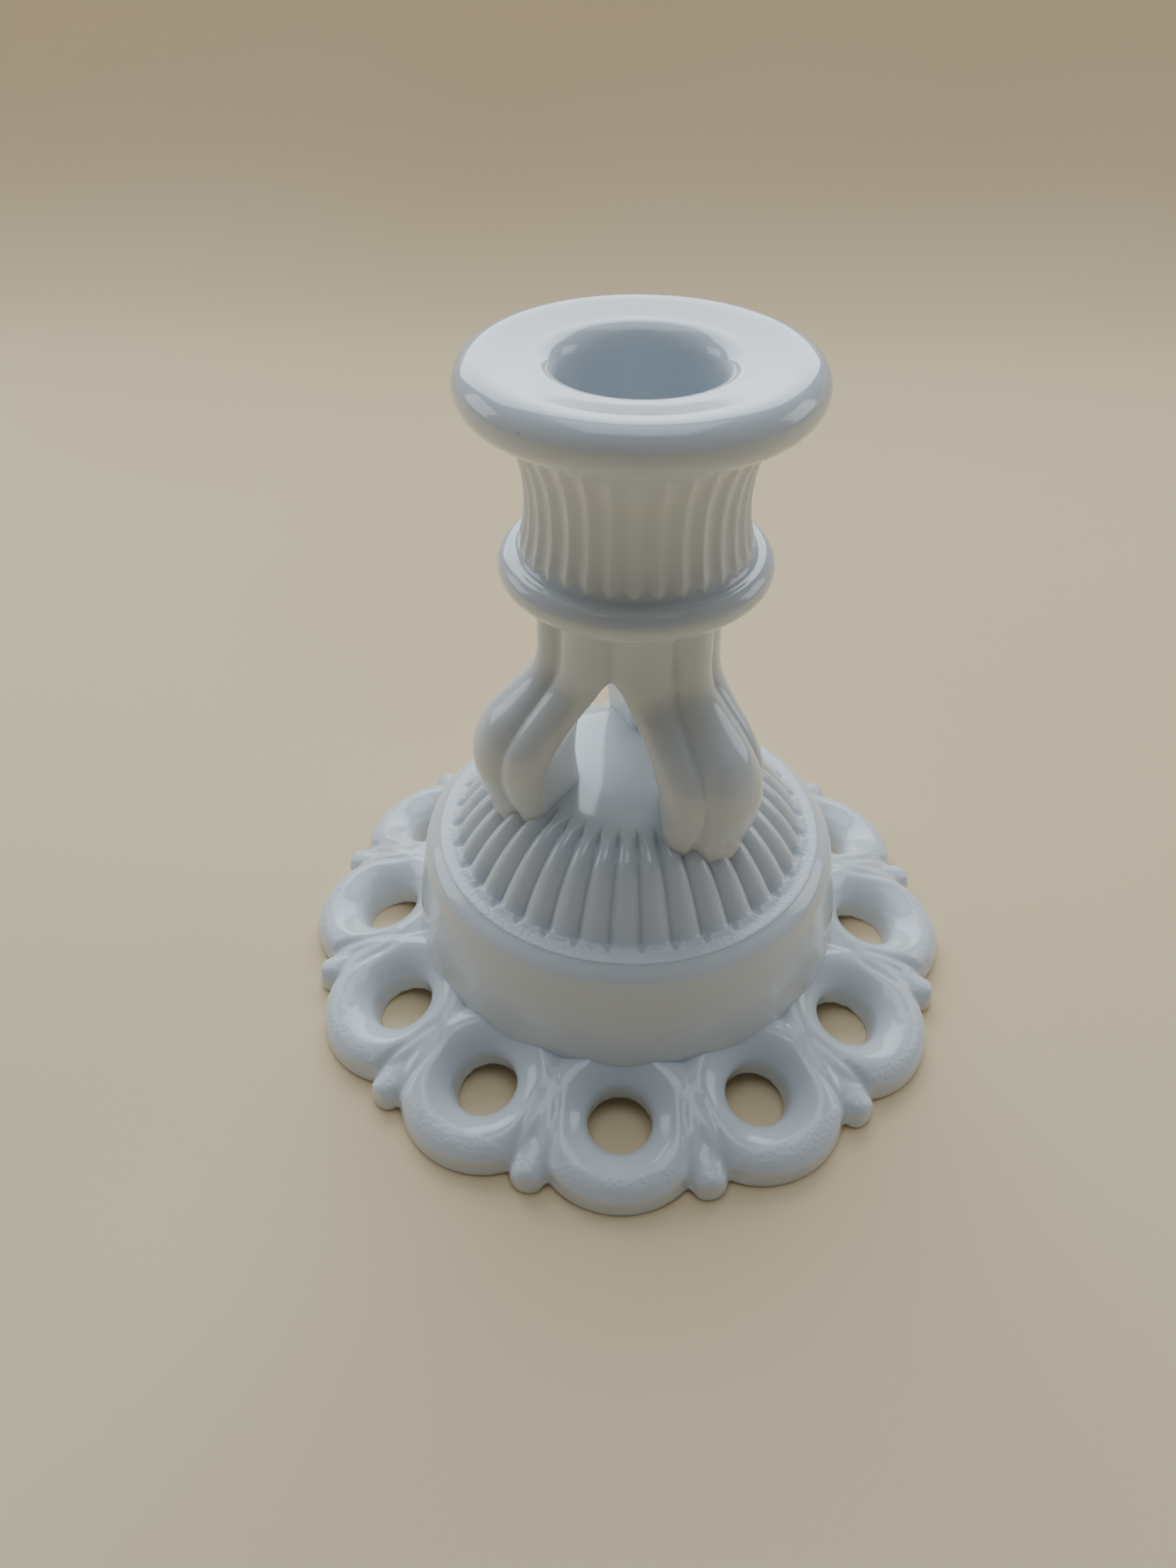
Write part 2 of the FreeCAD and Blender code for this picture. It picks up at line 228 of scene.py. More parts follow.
def hollow_mask(obj, passes=30):
    """Store on every point how hollow the surface is there, 0 on a crest and 1 in a crease."""
    mesh = obj.data
    edges = np.empty(len(mesh.edges) * 2, np.int32)
    mesh.edges.foreach_get("vertices", edges)
    a, b = edges.reshape(-1, 2).T
    co = positions(mesh)
    normals = np.empty(len(co) * 3)
    mesh.vertices.foreach_get("normal", normals)
    normals = normals.reshape(-1, 3)
    span = co[b] - co[a]
    length = np.maximum(np.linalg.norm(span, axis=1), 1e-6)
    at_a = np.einsum("ij,ij->i", span, normals[a]) / length ** 2
    at_b = -np.einsum("ij,ij->i", span, normals[b]) / length ** 2
    count = np.maximum(np.bincount(a, minlength=len(co)) + np.bincount(b, minlength=len(co)), 1)
    curve = (np.bincount(a, at_a, len(co)) + np.bincount(b, at_b, len(co))) / count
    curve = np.clip(curve * MM, -1.5, 1.5)
    for _ in range(passes):
        curve = 0.5 * curve + 0.5 * (np.bincount(a, curve[b], len(co))
                                     + np.bincount(b, curve[a], len(co))) / count
    # the materials darken the colour by this value as painted crease shade
    add_attribute(mesh, "hollow", np.clip(curve / 0.35, 0, 1))


# ------------------------------------------------------------------ geometry node trees

def new_tree(name, inputs):
    tree = bpy.data.node_groups.new(name, "GeometryNodeTree")
    tree.interface.new_socket("Geometry", in_out="INPUT", socket_type="NodeSocketGeometry")
    for label, kind, default in inputs:
        socket = tree.interface.new_socket(label, in_out="INPUT", socket_type=kind)
        if default is not None:
            socket.default_value = default
    tree.interface.new_socket("Geometry", in_out="OUTPUT", socket_type="NodeSocketGeometry")
    return tree, tree.nodes.new("NodeGroupInput"), tree.nodes.new("NodeGroupOutput")


def maths(tree, operation, first, second=None, clamp=False):
    node = tree.nodes.new("ShaderNodeMath")
    node.operation = operation
    node.use_clamp = clamp
    for socket, value in zip(node.inputs, (first, second)):
        if value is None:
            continue
        if isinstance(value, (int, float)):
            socket.default_value = value
        else:
            tree.links.new(value, socket)
    return node.outputs[0]


def ring_tree():
    """Copies of the incoming geometry set evenly round the axis and made real."""
    tree, given, result = new_tree("ring of copies", [
        ("Count", "NodeSocketInt", 12), ("First Azimuth", "NodeSocketFloat", 0.0),
        ("Material", "NodeSocketMaterial", None)])
    line = tree.nodes.new("GeometryNodeMeshLine")
    line.inputs["Offset"].default_value = (0, 0, 0)
    instance = tree.nodes.new("GeometryNodeInstanceOnPoints")
    index = tree.nodes.new("GeometryNodeInputIndex")
    turn = tree.nodes.new("ShaderNodeCombineXYZ")
    real = tree.nodes.new("GeometryNodeRealizeInstances")
    paint = tree.nodes.new("GeometryNodeSetMaterial")
    link = tree.links.new
    link(given.outputs["Count"], line.inputs["Count"])
    link(line.outputs["Mesh"], instance.inputs["Points"])
    link(given.outputs["Geometry"], instance.inputs["Instance"])
    step = maths(tree, "DIVIDE", 2 * math.pi, given.outputs["Count"])
    angle = maths(tree, "MULTIPLY", index.outputs[0], step)
    first = maths(tree, "RADIANS", given.outputs["First Azimuth"])
    link(maths(tree, "ADD", angle, first), turn.inputs["Z"])
    link(turn.outputs[0], instance.inputs["Rotation"])
    link(instance.outputs["Instances"], real.inputs["Geometry"])
    link(real.outputs["Geometry"], paint.inputs["Geometry"])
    link(given.outputs["Material"], paint.inputs["Material"])
    link(paint.outputs["Geometry"], result.inputs["Geometry"])
    return tree


def press_tree():
    """Creases pressed into a turned surface at equal angles. The point attribute "press"
    says how deep they go, in metres; between two creases the surface stays round."""
    tree, given, result = new_tree("pressed pattern", [
        ("Count", "NodeSocketInt", 36), ("First Azimuth", "NodeSocketFloat", 0.0),
        ("Full Depth", "NodeSocketFloat", 0.001), ("Roundness", "NodeSocketFloat", 0.6),
        ("Direction", "NodeSocketFloat", -1.0), ("Material", "NodeSocketMaterial", None)])
    link = tree.links.new
    place = tree.nodes.new("GeometryNodeInputPosition")
    split = tree.nodes.new("ShaderNodeSeparateXYZ")
    link(place.outputs[0], split.inputs[0])
    angle = maths(tree, "ARCTAN2", split.outputs["Y"], split.outputs["X"])
    first = maths(tree, "RADIANS", given.outputs["First Azimuth"])
    half = maths(tree, "MULTIPLY", given.outputs["Count"], 0.5)
    wave = maths(tree, "MULTIPLY", maths(tree, "SUBTRACT", angle, first), half)
    wave = maths(tree, "ABSOLUTE", maths(tree, "SINE", wave))
    wave = maths(tree, "POWER", wave, given.outputs["Roundness"])
    rise = maths(tree, "MULTIPLY", wave, given.outputs["Full Depth"])
    press = tree.nodes.new("GeometryNodeInputNamedAttribute")
    press.data_type = "FLOAT"
    press.inputs["Name"].default_value = "press"
    depth = maths(tree, "MAXIMUM", maths(tree, "SUBTRACT", press.outputs["Attribute"], rise), 0)
    normal = tree.nodes.new("GeometryNodeInputNormal")
    scale = tree.nodes.new("ShaderNodeVectorMath")
    scale.operation = "SCALE"
    link(normal.outputs[0], scale.inputs[0])
    link(maths(tree, "MULTIPLY", depth, given.outputs["Direction"]), scale.inputs["Scale"])
    move = tree.nodes.new("GeometryNodeSetPosition")
    real = tree.nodes.new("GeometryNodeRealizeInstances")
    paint = tree.nodes.new("GeometryNodeSetMaterial")
    link(given.outputs["Geometry"], move.inputs["Geometry"])
    link(scale.outputs[0], move.inputs["Offset"])
    link(move.outputs["Geometry"], real.inputs["Geometry"])
    link(real.outputs["Geometry"], paint.inputs["Geometry"])
    link(given.outputs["Material"], paint.inputs["Material"])
    link(paint.outputs["Geometry"], result.inputs["Geometry"])
    return tree


def run_tree(obj, tree, values):
    """Put a node tree on an object, set its inputs, and keep only the resulting mesh."""
    modifier = obj.modifiers.new(tree.name, "NODES")
    modifier.node_group = tree
    for item in tree.interface.items_tree:
        if item.in_out == "INPUT" and item.name in values:
            modifier[item.identifier] = values[item.name]
    return bake(obj)


# ------------------------------------------------------------------ shader node groups

def new_group(name, inputs, outputs):
    tree = bpy.data.node_groups.new(name, "ShaderNodeTree")
    for label, kind, default in inputs:
        socket = tree.interface.new_socket(label, in_out="INPUT", socket_type=kind)
        socket.default_value = default
    for label, kind in outputs:
        tree.interface.new_socket(label, in_out="OUTPUT", socket_type=kind)
    return tree, tree.nodes.new("NodeGroupInput"), tree.nodes.new("NodeGroupOutput")


def noise(tree, scale, detail, vector=None):
    if vector is None:
        vector = tree.nodes.new("ShaderNodeTexCoord").outputs["Object"]
    node = tree.nodes.new("ShaderNodeTexNoise")
    node.inputs["Detail"].default_value = detail
    tree.links.new(vector, node.inputs["Vector"])
    if isinstance(scale, (int, float)):
        node.inputs["Scale"].default_value = scale
    else:
        tree.links.new(scale, node.inputs["Scale"])
    return node.outputs["Fac"]


def ramp(tree, value, start, end):
    """0 below start, 1 above end, smooth between."""
    node = tree.nodes.new("ShaderNodeMapRange")
    node.interpolation_type = "SMOOTHSTEP"
    tree.links.new(value, node.inputs["Value"])
    for socket, given in (("From Min", start), ("From Max", end)):
        if isinstance(given, (int, float)):
            node.inputs[socket].default_value = given
        else:
            tree.links.new(given, node.inputs[socket])
    return node.outputs["Result"]


def mix_colour(tree, factor, first, second):
    node = tree.nodes.new("ShaderNodeMix")
    node.data_type = "RGBA"
    tree.links.new(factor, node.inputs["Factor"])
    for socket, value in ((node.inputs["A"], first), (node.inputs["B"], second)):
        if isinstance(value, tuple):
            socket.default_value = value
        else:
            tree.links.new(value, socket)
    return node.outputs["Result"]


def crease_shade_and_dirt_group():
    """Painted shade that darkens the creases in noisy patches, and a few small dark specks of dirt.
    """
    tree, given, result = new_group("painted crease shade and specks", [
        ("Base Color", "NodeSocketColor", (1, 1, 1, 1)),
        ("Shade And Dirt Color", "NodeSocketColor", (0.2, 0.16, 0.12, 1)),
        ("Speck Amount", "NodeSocketFloat", 0.5), ("Crease Shade Amount", "NodeSocketFloat", 0.3)],
        [("Color", "NodeSocketColor"), ("Mask", "NodeSocketFloat")])
    link = tree.links.new
    hollow = tree.nodes.new("ShaderNodeAttribute")
    hollow.attribute_name = "hollow"
    crease = ramp(tree, hollow.outputs["Fac"], 0.25, 1.0)
    patches = ramp(tree, noise(tree, 140.0, 3.0), 0.5, 0.68)
    # painted shade: creases are darkened towards the dark colour, in noisy patches
    painted_crease_shade = maths(tree, "MULTIPLY", maths(tree, "MULTIPLY", crease, patches),
                 given.outputs["Crease Shade Amount"], clamp=True)
    cells = tree.nodes.new("ShaderNodeTexVoronoi")
    cells.inputs["Scale"].default_value = 420.0
    where = tree.nodes.new("ShaderNodeTexCoord")
    link(where.outputs["Object"], cells.inputs["Vector"])
    dot = maths(tree, "SUBTRACT", 1.0, ramp(tree, cells.outputs["Distance"], 0.06, 0.16))
    chosen = ramp(tree, noise(tree, 95.0, 1.0), 0.6, 0.68)
    lone = ramp(tree, noise(tree, 260.0, 0.0), 0.56, 0.62)
    near = maths(tree, "ADD", crease, 0.35)
    specks = maths(tree, "MULTIPLY", maths(tree, "MULTIPLY", dot, chosen),
                   maths(tree, "MULTIPLY", lone, near))
    specks = maths(tree, "MULTIPLY", specks, given.outputs["Speck Amount"], clamp=True)
    # the mask holds the painted crease shade and the dirt specks
    mask = maths(tree, "MAXIMUM", painted_crease_shade, specks)
    link(mix_colour(tree, mask, given.outputs["Base Color"], given.outputs["Shade And Dirt Color"]),
         result.inputs["Color"])
    link(mask, result.inputs["Mask"])
    return tree


def ripple_group():
    """Height of the slight waves that a pressed glass surface keeps from the mould."""
    tree, given, result = new_group("pressed ripple", [
        ("Wave Scale", "NodeSocketFloat", 60.0), ("Grain Scale", "NodeSocketFloat", 900.0),
        ("Grain Amount", "NodeSocketFloat", 0.05)], [("Height", "NodeSocketFloat")])
    wave = noise(tree, given.outputs["Wave Scale"], 1.5)
    grain = noise(tree, given.outputs["Grain Scale"], 2.0)
    grain = maths(tree, "MULTIPLY", grain, given.outputs["Grain Amount"])
    tree.links.new(maths(tree, "ADD", wave, grain), result.inputs["Height"])
    return tree


def ring_group():
    """1 inside a flat ring about the axis, between two radii and two heights."""
    tree, given, result = new_group("ring zone", [
        ("Inner Radius", "NodeSocketFloat", 0.0), ("Outer Radius", "NodeSocketFloat", 1.0),
        ("Low", "NodeSocketFloat", 0.0), ("High", "NodeSocketFloat", 1.0),
        ("Softness", "NodeSocketFloat", 0.0002)], [("Mask", "NodeSocketFloat")])
    where = tree.nodes.new("ShaderNodeTexCoord")
    split = tree.nodes.new("ShaderNodeSeparateXYZ")
    tree.links.new(where.outputs["Object"], split.inputs[0])
    squares = maths(tree, "ADD", maths(tree, "POWER", split.outputs["X"], 2.0),
                    maths(tree, "POWER", split.outputs["Y"], 2.0))
    radius = maths(tree, "SQRT", squares)

    def above(value, edge):
        return ramp(tree, value, edge, maths(tree, "ADD", edge, given.outputs["Softness"]))

    inside = maths(tree, "MULTIPLY", above(radius, given.outputs["Inner Radius"]),
                   maths(tree, "SUBTRACT", 1.0, above(radius, given.outputs["Outer Radius"])))
    level = maths(tree, "MULTIPLY", above(split.outputs["Z"], given.outputs["Low"]),
                  maths(tree, "SUBTRACT", 1.0, above(split.outputs["Z"], given.outputs["High"])))
    tree.links.new(maths(tree, "MULTIPLY", inside, level), result.inputs["Mask"])
    return tree


def place_group(tree, group, values):
    node = tree.nodes.new("ShaderNodeGroup")
    node.node_tree = group
    for name, value in values.items():
        node.inputs[name].default_value = value
    return node


def milk_glass(name, groups, base, roughness, grain_amount, speck, crease, stipple):
    """Opaque white pressed glass."""
    shade_and_dirt, ripple, ring = groups
    material = bpy.data.materials.new(name)
    material.use_nodes = True
    tree = material.node_tree
    shader = tree.nodes["Principled BSDF"]
    link = tree.links.new
    shader.inputs["IOR"].default_value = 1.5
    shader.inputs["Subsurface Weight"].default_value = 0.25
    shader.inputs["Subsurface Radius"].default_value = (1.0, 0.95, 0.85)
    shader.inputs["Subsurface Scale"].default_value = 2.2 * MM
    shader.inputs["Coat Weight"].default_value = 0.25
    shader.inputs["Coat Roughness"].default_value = 0.05
    # painted crease shade and real dirt specks mixed into the base colour; crease sets how strong
    # the painted shade is
    shade_and_specks_node = place_group(tree, shade_and_dirt, {"Base Color": base, "Shade And Dirt Color": (0.23, 0.17, 0.11, 1),
                                       "Speck Amount": speck, "Crease Shade Amount": crease})
    link(shade_and_specks_node.outputs["Color"], shader.inputs["Base Color"])
    zone = place_group(tree, ring, stipple)
    patchy = ramp(tree, noise(tree, 70.0, 3.0), 0.35, 0.7)
    rough = maths(tree, "ADD", maths(tree, "MULTIPLY", patchy, 0.06), roughness)
    rough = maths(tree, "ADD", rough, maths(tree, "MULTIPLY", zone.outputs["Mask"], 0.25))
    rough = maths(tree, "ADD", rough,
                  maths(tree, "MULTIPLY", shade_and_specks_node.outputs["Mask"], 0.4), clamp=True)
    link(rough, shader.inputs["Roughness"])
    waves = place_group(tree, ripple, {"Grain Amount": grain_amount})
    wavy = tree.nodes.new("ShaderNodeBump")
    wavy.inputs["Strength"].default_value = 0.12
    wavy.inputs["Distance"].default_value = 1.2 * MM
    link(waves.outputs["Height"], wavy.inputs["Height"])
    stippled = tree.nodes.new("ShaderNodeBump")
    stippled.inputs["Distance"].default_value = 0.25 * MM
    stippled.inputs["Strength"].default_value = 0.7
    pits = maths(tree, "MULTIPLY", noise(tree, 1500.0, 1.0), zone.outputs["Mask"])
    link(pits, stippled.inputs["Height"])
    link(wavy.outputs["Normal"], stippled.inputs["Normal"])
    link(stippled.outputs["Normal"], shader.inputs["Normal"])
    return material


# ------------------------------------------------------------------ candle socket and cup

def upper_outline():
    """Collar, cup, rim and socket in one outline, from the collar's underside to the floor
    of the socket."""
    collar_middle = 83.0
    bead = 2.43
    bead_ring = collar_radius - bead
    rim_tube = 3.6
    rim_ring = rim_radius - rim_tube
    mouth = 11.5
    mouth_round = 3.0
    lip = top - 0.75
    floor = 90.0
    path = [(0.0, collar_low), (8.0, collar_low), (14.0, collar_low)]
    path += arc_path((15.7, collar_low + 0.75), 0.75, -90, -20, 5)
    path += arc_path((bead_ring, collar_middle), bead, -118, 74, 30)
    path += smooth_path([(18.45, 85.15), (17.75, 85.45), (17.3, 86.0), (16.75, 87.4),
                         (16.25, 89.7), (15.97, 92.3), (15.93, 94.8), (16.2, 97.9),
                         (16.75, 100.4), (17.55, 102.6), (18.6, 104.6), (19.9, 106.0),
                         (21.0, 106.75)], 0.42)
    path += arc_path((rim_ring, top - rim_tube), rim_tube, -96, 90, 40)
    path += smooth_path([(rim_ring - 1.2, top - 0.06), (19.0, top - 0.28),
                         (16.5, top - 0.6), (mouth + mouth_round + 0.6, lip)], 0.8)
    path += arc_path((mouth + mouth_round, lip - mouth_round), mouth_round, 90, 180, 14)
    path += smooth_path([(mouth, lip - mouth_round - 0.8), (mouth, 104.0), (mouth, 98.0),
                         (mouth, 92.4)], 2.0)
    path += arc_path((mouth - 1.6, floor + 1.6), 1.6, 0, -90, 6)
    path += [(7.0, floor), (3.0, floor), (0.0, floor)]
    return path


def build_upper(press, glass):
    obj = lathe("candle_cup_glass", upper_outline(), FLUTE_COUNT * 12)
    co = positions(obj.data) / MM
    radius = np.hypot(co[:, 0], co[:, 1])
    height = co[:, 2]
    outside = radius > 14.5
    depth = smoothstep(85.6, 87.6, height) * (1 - smoothstep(102.4, 105.6, height))
    add_attribute(obj.data, "press", np.where(outside, depth, 0) * 0.5 * MM)
    return run_tree(obj, press, {"Count": FLUTE_COUNT, "First Azimuth": 270.0,
                                 "Full Depth": 0.5 * MM, "Roundness": 1.15,
                                 "Direction": 1.0, "Material": glass})


# ------------------------------------------------------------------ stem

LEG_LEVELS = [36.0, 41.2, 44.0, 46.4, 50.0, 53.2, 57.7, 61.7, 64.4, 66.5, 68.6, 72.0, 76.0, 80.4]
LEG_SHAPE = {
    "crest": [23.8, 24.7, 25.7, 26.3, 26.7, 26.1, 23.7, 19.5, 17.0, 15.9, 15.45, 15.3, 15.3, 15.6],
    "groove": [19.8, 20.8, 22.1, 22.8, 23.3, 22.8, 20.0, 16.6, 14.5, 13.5, 13.0, 12.7, 12.7, 13.2],
    "side": [20.0, 21.2, 22.3, 22.8, 23.2, 22.7, 20.2, 16.9, 14.9, 14.1, 13.8, 13.7, 13.7, 14.1],
    "edge": [17.5, 18.2, 18.9, 19.4, 19.6, 18.7, 16.1, 13.6, 12.6, 12.0, 11.8, 11.7, 11.8, 12.2],
    "inner": [8.4, 8.8, 9.3, 9.6, 9.9, 9.8, 9.4, 8.4, 6.8, 4.5, 2.2, 0.6, 0.3, 0.3],
    "reach": [26.0, 27.6, 28.2, 28.6, 30.0, 31.6, 34.9, 41.0, 47.6, 53.0, 60.4, 60.4, 60.4, 60.4],
}


def leg_value(name, height):
    """Smooth value of one leg measure at a height."""
    levels = np.array(LEG_LEVELS)
    values = np.array(LEG_SHAPE[name])
    slopes = np.gradient(values, levels)
    k = int(np.clip(np.searchsorted(levels, height) - 1, 0, len(levels) - 2))
    span = levels[k + 1] - levels[k]
    t = (height - levels[k]) / span
    return ((1 + 2 * t) * (1 - t) ** 2 * values[k] + t * (1 - t) ** 2 * span * slopes[k]
            + t * t * (3 - 2 * t) * values[k + 1] + t * t * (t - 1) * span * slopes[k + 1])


def leg_outer(angle, height):
    """Radius of the outer face: a broad middle lobe between two grooves and a side lobe
    beyond each of them."""
    groove_at = 15.0
    crest, groove, side, edge, reach = [leg_value(n, height)
                                        for n in ("crest", "groove", "side", "edge", "reach")]
    away = abs(angle)
    if away < groove_at:
        u = away / groove_at
        return groove + (crest - groove) * max(0.0, 1 - u ** 2.2) ** 0.62
    t = min(1.0, (away - groove_at) / (reach - groove_at))
    chord = groove * (1 - t) + edge * t
    swell = side - (0.55 * groove + 0.45 * edge)
    return chord + swell * max(0.0, 1 - abs(2 * t - 1) ** 2.4) ** 0.7


def leg_ring(height):
    """Closed outline of a leg at one height, drawn about +X."""
    reach = leg_value("reach", height)
    inner = leg_value("inner", height)
    points = []
    for angle in np.linspace(-reach, reach, 90):
        radius = leg_outer(angle, height)
        points.append((radius, angle))
    outer_edge = points[-1][0]
    for t in np.linspace(1, -1, 70)[1:-1]:
        turn = math.copysign(abs(t) ** 0.6, t)
        points.append((inner + (outer_edge - inner) * abs(turn) ** 4.0, turn * reach))
    return [(r * math.cos(math.radians(a)), r * math.sin(math.radians(a)), height)
            for r, a in points]


def build_stem(ring, glass):
    heights = np.linspace(LEG_LEVELS[0] + 1.5, LEG_LEVELS[-1] - 0.1, 110)
    rows = [leg_ring(h) for h in heights]
    width = len(rows[0])
    points = [p for row in rows for p in row]
    faces = []
    for r in range(len(rows) - 1):
        for k in range(width):
            n = (k + 1) % width
            faces.append((r * width + k, r * width + n,
                          (r + 1) * width + n, (r + 1) * width + k))
    faces.append(tuple(reversed(range(width))))
    faces.append(tuple((len(rows) - 1) * width + k for k in range(width)))
    leg = mesh_object("stem_glass", points, faces)
    run_tree(leg, ring, {"Count": LEG_COUNT, "First Azimuth": LEG_FIRST, "Material": glass})
    return melt(leg, 0.36, 8)


# ------------------------------------------------------------------ foot

def foot_outline():
    """Plateau, ribbed dome, ledge and skirt in one outline, with the hollow underneath."""
    wall = 4.9
    path = [(0.0, plateau_top)]
    path += smooth_path([(2.0, plateau_top - 0.01), (8.0, plateau_top - 0.12),
                         (13.0, plateau_top - 0.35), (plateau_radius + 0.3, 42.62),
                         (18.2, 42.05), (20.2, 41.25), (22.2, 40.2), (24.0, 38.75),
                         (25.6, 37.1), (27.2, 35.2), (28.6, 33.3), (29.7, 31.6)], 0.42)
    path += smooth_path([(30.3, 30.75), (30.9, 30.3), (dome_radius + 0.0, ledge_top + 0.06)], 0.3)
    path += smooth_path([(32.0, ledge_top), (32.6, ledge_top), (33.3, ledge_top)], 0.3)
    path += smooth_path([(33.5, ledge_top - 0.1), (33.72, ledge_top - 0.36),
                         (34.4, 29.2), (35.2, 28.55), (35.8, 27.9),
                         (36.15, 27.0), (36.6, 25.0), (37.05, 22.3), (37.55, 19.5),
                         (37.9, 17.4), (38.25, 14.0), (38.45, 10.5)], 0.6)
    path += [(skirt_radius - 0.05, 6.0), (skirt_radius - 0.1, 4.2), (skirt_radius - 0.6, skirt_low)]
    path += [(36.0, skirt_low), (34.0, skirt_low), (33.4, 3.8)]
    path += smooth_path([(33.3, 6.0), (32.9, 14.0), (32.2, 21.0), (31.0, 27.3),
                         (27.2, 31.0), (24.0, 34.8), (20.0, 37.4), (plateau_radius, plateau_under),
                         (8.0, plateau_under), (2.0, plateau_under)], 1.6)
    path += [(0.0, plateau_under)]
    return path


def build_foot(press, glass):
    obj = lathe("foot_glass", foot_outline(), RIB_COUNT * 12, 265.0)
    co = positions(obj.data) / MM
    radius = np.hypot(co[:, 0], co[:, 1])
    height = co[:, 2]
    full = 1.5
    outside = (height > 30.0) & (radius > plateau_radius - 0.5) & (height > 46.2 - 0.5 * radius - 4)
    skin = np.zeros(len(co))
    start = smoothstep(15.6, 19.0, radius)
    end = 1 - 0.55 * smoothstep(30.2, 31.4, radius)
    skin = np.where(upper_side(obj.data) & outside, start * end, 0)
    add_attribute(obj.data, "press", skin * full * MM)
    return run_tree(obj, press, {"Count": RIB_COUNT, "First Azimuth": 265.0,
                                 "Full Depth": full * MM, "Roundness": 0.62,
                                 "Direction": -1.0, "Material": glass})


def upper_side(mesh):
    normals = np.empty(len(mesh.vertices) * 3)
    mesh.vertices.foreach_get("normal", normals)
    return normals.reshape(-1, 3)[:, 2] > 0.05


# ------------------------------------------------------------------ lace

def tilted(obj):
    """Tilt a loop drawn about the origin outwards and move it to its place on +X."""
    move = Matrix.Translation(Vector((LOOP_RING, 0, LOOP_HEIGHT)) * MM)
    obj.data.transform(move @ Matrix.Rotation(math.radians(LOOP_TILT), 4, "Y"))
    return obj


def loop_blank():
    reach = (foot_radius - LOOP_RING) / math.cos(math.radians(LOOP_TILT))
    path = [(5.33, -5.0), (5.33, -2.2), (5.4, -0.8)]
    path += smooth_path([(5.6, 0.0), (6.2, 0.85), (7.2, 1.75), (8.5, 2.6), (9.6, 3.08),
                         (10.5, 3.2), (11.6, 3.0), (12.9, 2.4), (14.1, 1.45),
                         (reach - 0.75, 0.35), (reach - 0.25, -0.8), (reach - 0.12, -1.8),
                         (reach - 0.35, -3.2), (reach - 1.2, -5.0)], 0.5)
    return tilted(lathe("loop", path, 96))


def hole_blank():
    """The eye of a loop and its funnel as a solid, to be taken out of the lace."""
    path = [(0.0, -9.0), (5.33, -9.0), (5.33, -2.2), (5.4, -0.8)]
    path += smooth_path([(5.6, 0.0), (6.2, 0.85), (7.2, 1.75), (8.5, 2.6), (9.6, 3.08)], 0.5)
    path += [(9.9, 3.6), (10.2, 9.0), (0.0, 9.0)]
    return tilted(lathe("eye", path, 96))


def finger_blank():
    """Tapered round-ended finger between two loops, on the azimuth half way to the next."""
    fall = math.tan(math.radians(LOOP_TILT))
    rows = []
    for t in np.linspace(0, 1, 40):
        along = 43.6 + t * (58.6 - 43.6)
        width = 0.6 + 2.6 * smoothstep(0.0, 0.75, t)
        tip = max(0.0, (along - 55.7) / 2.9)
        width *= math.sqrt(max(0.0, 1 - tip ** 2)) if tip > 0 else 1.0
        rows.append((along, max(width, 0.02)))
    points, faces, sides = [], [], 24
    for along, width in rows:
        plane = LOOP_HEIGHT - (along - LOOP_RING) * fall
        for k in range(sides):
            a = 2 * math.pi * k / sides
            lift = 2.75 if math.sin(a) > 0 else 4.0
            depth = min(1.0, width / 2.2)
            points.append((along, width * math.cos(a), plane - 0.2 + lift * depth * math.sin(a)))
    for r in range(len(rows) - 1):
        for k in range(sides):
            n = (k + 1) % sides
            faces.append((r * sides + k, r * sides + n, (r + 1) * sides + n, (r + 1) * sides + k))
    faces.append(tuple(reversed(range(sides))))
    faces.append(tuple((len(rows) - 1) * sides + k for k in range(sides)))
    obj = mesh_object("finger", points, faces)
    obj.data.transform(Matrix.Rotation(math.pi / LOOP_COUNT, 4, "Z"))
    return obj


def web_blank():
    """Sloping flange that fills the corners between the loops and the skirt."""
    path = [(37.4, 9.5), (38.9, 8.9), (40.5, 8.35), (43.0, 7.55), (46.0, 6.7), (46.8, 4.0),
            (46.6, 1.0), (37.4, 2.4)]
    return lathe("web", path, 240)


def cut(obj, tool):
    modifier = obj.modifiers.new("cut", "BOOLEAN")
    modifier.operation = "DIFFERENCE"
    modifier.solver = "EXACT"
    modifier.object = tool
    bake(obj)
    bpy.data.objects.remove(tool)
    return obj


def build_lace(ring, glass):
    around = {"Count": LOOP_COUNT, "First Azimuth": LOOP_FIRST, "Material": glass}
    loops = run_tree(loop_blank(), ring, around)
    fingers = run_tree(finger_blank(), ring, around)
    lace = melt(join("lace_glass", [loops, web_blank()]), 0.45, 2)
    eyes = run_tree(hole_blank(), ring, around)
    cut(lace, eyes)
    lace = melt(join("lace_glass", [lace, fingers]), 0.53, 6)
    co = positions(lace.data) / MM
    radius = np.hypot(co[:, 0], co[:, 1])
    azimuth = np.degrees(np.arctan2(co[:, 1], co[:, 0])) - LOOP_FIRST - 15.0
    off = (azimuth + 15.0) % 30.0 - 15.0
    aside = np.abs(radius * np.sin(np.radians(off)))
    half = np.interp(radius, [43.0, 47.0, 51.0, 55.0, 60.0], [1.0, 1.7, 2.35, 2.95, 3.2])
    line = np.exp(-((aside - half - 0.2) / 0.75) ** 2)
    line *= smoothstep(42.5, 46.5, radius)
    up = upper_side(lace.data)
    co[:, 2] -= np.where(up, 0.6 * line, 0)
    co[:, 2] = np.maximum(co[:, 2], 0.0)
    set_positions(lace.data, co * MM)
    lace.data.materials.clear()
    lace.data.materials.append(glass)
    return lace
